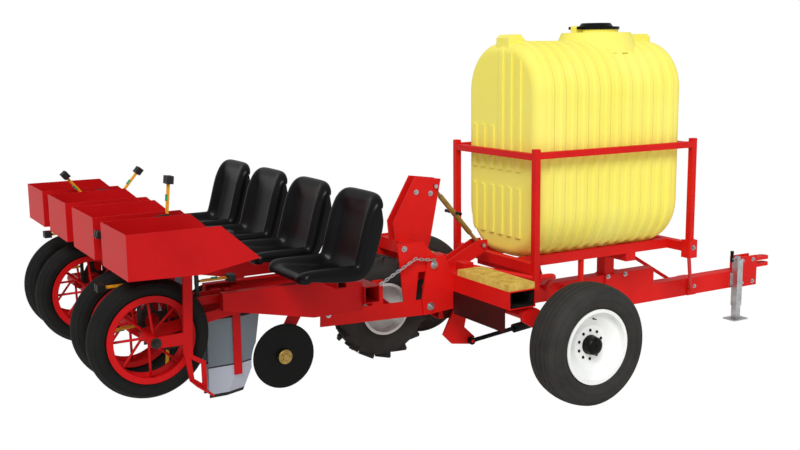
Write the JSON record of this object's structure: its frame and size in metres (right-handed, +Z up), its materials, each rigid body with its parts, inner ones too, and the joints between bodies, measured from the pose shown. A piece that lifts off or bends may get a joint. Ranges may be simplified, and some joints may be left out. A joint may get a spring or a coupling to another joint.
{
  "type": "bare root transplanter with water tank cart",
  "caption": "Pull-type bare root transplanter with rider seats, plant trays, gripper chains and packing wheels, carried behind a single-axle water tank cart.",
  "frame": {"origin": "on the ground, at the middle of the machine's length and width", "axes": "+X towards the hitch, +Y to the left of the direction of travel, +Z up"},
  "size_m": [5.8473, 2.328, 2.3933],
  "materials": {
    "red_paint": "glossy red enamel",
    "tank_poly": "satin rotomoulded polyethylene",
    "black_plastic": "satin moulded plastic",
    "yellow_paint": "worn yellow paint",
    "gripper_steel": "yellow paint with black rubber tips",
    "zinc_steel": "zinc plate",
    "bare_steel": "rolled sheet steel",
    "tan_paint": "yellow passivated plate",
    "black_steel": "gloss black paint",
    "dark_steel": "oiled steel",
    "white_paint": "white enamel",
    "grey_paint": "light grey paint",
    "tyre_rubber": "matt black rubber"
  },
  "bodies": {
    "frame": {"axle": "red_paint", "beam_clamp": "red_paint", "cart_hitch": "red_paint", "centre_beam": "red_paint", "check_chains": "zinc_steel", "clevis": "red_paint", "coulter_arms": "red_paint", "cradle_pipes": "red_paint", "cradle_rails": "red_paint", "cradle_supports": "red_paint", "drawbar": "red_paint", "drive_arm": "red_paint", "front_struts": "red_paint", "gripper_chains": "gripper_steel", "guard_ends": "red_paint", "guard_posts": "red_paint", "guard_rails": "red_paint", "hitch_pins": "zinc_steel", "hitch_plates": "red_paint", "jack_tube": "zinc_steel", "lift_crank": "red_paint", "lift_cylinder": "black_steel", "mast": "red_paint", "packer_arms": "red_paint", "plant_bar": "red_paint", "row_beams": "red_paint", "row_brackets": "red_paint", "seat_bar": "red_paint", "seats": "black_plastic", "shoes": "bare_steel", "side_frames": "red_paint", "sprockets": "dark_steel", "step_planks": "yellow_paint", "tank": "tank_poly", "tank_neck": "tank_poly", "toolbar": "red_paint", "toolbar_brackets": "red_paint", "top_link": "tan_paint", "tray_legs": "red_paint", "trays": "red_paint"},
    "cart_wheel_right": {"cart_tyre_right": "tyre_rubber", "cart_rim_right": "white_paint"},
    "cart_wheel_left": {"cart_tyre_left": "tyre_rubber", "cart_rim_left": "white_paint"},
    "coulter_disc_right": {"coulter_right": "black_steel"},
    "coulter_disc_left": {"coulter_left": "black_steel"},
    "drive_wheel": {"drive_tyre": "tyre_rubber", "drive_rim": "grey_paint"},
    "pack_wheel_1": {"pack_tyre_1": "tyre_rubber", "pack_rim_1": "red_paint"},
    "pack_wheel_2": {"pack_tyre_2": "tyre_rubber", "pack_rim_2": "red_paint"},
    "pack_wheel_3": {"pack_tyre_3": "tyre_rubber", "pack_rim_3": "red_paint"},
    "pack_wheel_4": {"pack_tyre_4": "tyre_rubber", "pack_rim_4": "red_paint"},
    "tank_lid": {"tank_lid": "black_plastic"},
    "jack_leg": {"jack_leg": "zinc_steel"}
  },
  "joints": [
    {"name": "cart_wheel_right_turn", "type": "hinge", "parent": "frame", "child": "cart_wheel_right", "pos_m": [0.09375, -1.03, 0.39], "axis": [0, 1, 0], "continuous": true},
    {"name": "cart_wheel_left_turn", "type": "hinge", "parent": "frame", "child": "cart_wheel_left", "pos_m": [0.09375, 1.03, 0.39], "axis": [0, 1, 0], "continuous": true},
    {"name": "coulter_disc_right_turn", "type": "hinge", "parent": "frame", "child": "coulter_disc_right", "pos_m": [-1.78625, -0.616, 0.508], "axis": [0, 1, 0], "continuous": true},
    {"name": "coulter_disc_left_turn", "type": "hinge", "parent": "frame", "child": "coulter_disc_left", "pos_m": [-1.78625, 0.616, 0.508], "axis": [0, 1, 0], "continuous": true},
    {"name": "drive_wheel_turn", "type": "hinge", "parent": "frame", "child": "drive_wheel", "pos_m": [-0.82625, 0, 0.54], "axis": [0, 1, 0], "continuous": true},
    {"name": "pack_wheel_1_turn", "type": "hinge", "parent": "frame", "child": "pack_wheel_1", "pos_m": [-2.60625, -0.786, 0.78], "axis": [0, 1, 0], "continuous": true},
    {"name": "pack_wheel_2_turn", "type": "hinge", "parent": "frame", "child": "pack_wheel_2", "pos_m": [-2.60625, -0.446, 0.78], "axis": [0, 1, 0], "continuous": true},
    {"name": "pack_wheel_3_turn", "type": "hinge", "parent": "frame", "child": "pack_wheel_3", "pos_m": [-2.60625, 0.446, 0.78], "axis": [0, 1, 0], "continuous": true},
    {"name": "pack_wheel_4_turn", "type": "hinge", "parent": "frame", "child": "pack_wheel_4", "pos_m": [-2.60625, 0.786, 0.78], "axis": [0, 1, 0], "continuous": true},
    {"name": "tank_lid_hinge", "type": "hinge", "parent": "frame", "child": "tank_lid", "pos_m": [0.81375, 0, 2.3573], "axis": [0, -1, 0], "range_deg": [0, 110]},
    {"name": "jack_leg_slide", "type": "slide", "parent": "frame", "child": "jack_leg", "axis": [0, 0, 1], "range_m": [0, 0.09]}
  ]
}
